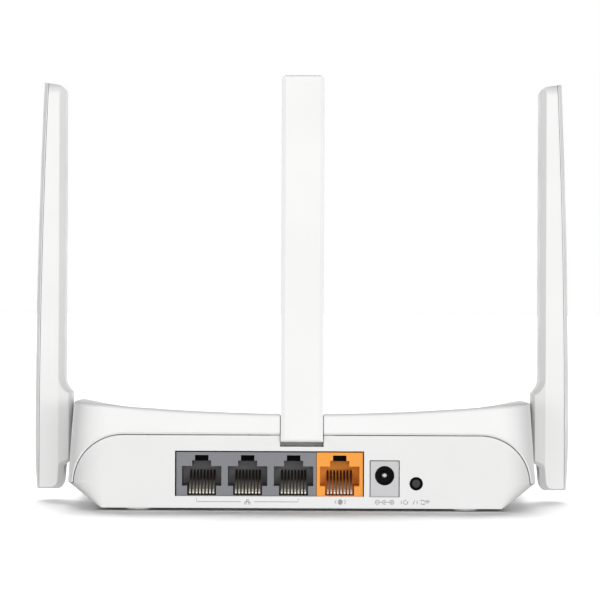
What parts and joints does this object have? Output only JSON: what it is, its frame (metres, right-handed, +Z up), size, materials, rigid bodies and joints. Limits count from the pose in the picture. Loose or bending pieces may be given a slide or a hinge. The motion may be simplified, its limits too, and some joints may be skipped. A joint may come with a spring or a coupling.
{
  "type": "wireless router",
  "caption": "White wireless router with a saddle-shaped case, hinged flat antennas on the sides and at the rear, network sockets, a power jack and a reset button.",
  "frame": {"origin": "on the table under the middle of the object's bounding box", "axes": "+Z up, +Y towards the socket side, +X to the left of someone who looks at the sockets"},
  "size_m": [0.17, 0.118, 0.1329],
  "materials": {
    "white_plastic": "fine satin texture",
    "jack_grey": "smooth moulding",
    "jack_orange": "smooth moulding",
    "power_jack_grey": "smooth moulding",
    "contact_gold": "thin gold plating",
    "contact_nickel": "nickel plating",
    "switch_black": "moulded",
    "button_black": "satin",
    "chip_black": "moulded epoxy",
    "capacitor_aluminium": "drawn can",
    "ceramic_tan": "fired ceramic",
    "led_white": "clear resin",
    "clear_guide": "clear acrylic",
    "board_green": "solder mask",
    "screw_steel": "zinc plated",
    "foot_rubber": "soft light grey rubber",
    "label_paper": "blank label",
    "radiator_brass": "drawn brass",
    "cable_black": "thin cable jacket"
  },
  "bodies": {
    "case": {"bottom_shell": "white_plastic", "top_shell": "white_plastic", "circuit_board": "board_green", "lan_jack_block": "jack_grey", "wan_jack": "jack_orange", "lan_contact_wires": "contact_gold", "wan_contact_wires": "contact_gold", "dc_jack_housing": "power_jack_grey", "dc_jack_center_pin": "contact_nickel", "dc_jack_spring_contact": "contact_nickel", "reset_switch": "switch_black", "main_chip": "chip_black", "memory_chip": "chip_black", "network_transformers": "chip_black", "crystal": "contact_nickel", "electrolytic_capacitors": "capacitor_aluminium", "power_inductor": "chip_black", "ceramic_capacitors": "ceramic_tan", "status_leds": "led_white", "light_guide": "clear_guide", "case_screws": "screw_steel", "rubber_feet": "foot_rubber", "rating_label": "label_paper", "rear_antenna_cable": "cable_black", "left_antenna_cable": "cable_black", "right_antenna_cable": "cable_black"},
    "left_antenna": {"left_antenna_housing": "white_plastic", "left_antenna_cover": "white_plastic", "left_antenna_hub": "white_plastic", "left_antenna_ring": "screw_steel", "left_antenna_radiator": "radiator_brass", "left_antenna_feed": "cable_black"},
    "right_antenna": {"right_antenna_housing": "white_plastic", "right_antenna_cover": "white_plastic", "right_antenna_hub": "white_plastic", "right_antenna_ring": "screw_steel", "right_antenna_radiator": "radiator_brass", "right_antenna_feed": "cable_black"},
    "rear_antenna": {"rear_antenna_cover": "white_plastic", "rear_antenna_housing": "white_plastic", "rear_antenna_radiator": "radiator_brass", "rear_antenna_feed": "cable_black"},
    "button": {"reset_button": "button_black"}
  },
  "joints": [
    {"name": "left_antenna_hinge", "type": "hinge", "parent": "case", "child": "left_antenna", "pos_m": [0.0731, 0.0115, 0.0165], "axis": [1, 0, 0], "range_deg": [-90, 90]},
    {"name": "right_antenna_hinge", "type": "hinge", "parent": "case", "child": "right_antenna", "pos_m": [-0.0731, 0.0115, 0.0165], "axis": [1, 0, 0], "range_deg": [-90, 90]},
    {"name": "rear_antenna_hinge", "type": "hinge", "parent": "case", "child": "rear_antenna", "pos_m": [0, 0.055, 0.0249], "axis": [-1, 0, 0], "range_deg": [0, 90]},
    {"name": "reset_button_press", "type": "slide", "parent": "case", "child": "button", "axis": [0, -1, 0], "range_m": [0, 0.0006], "stiffness_N_per_m": 400}
  ]
}
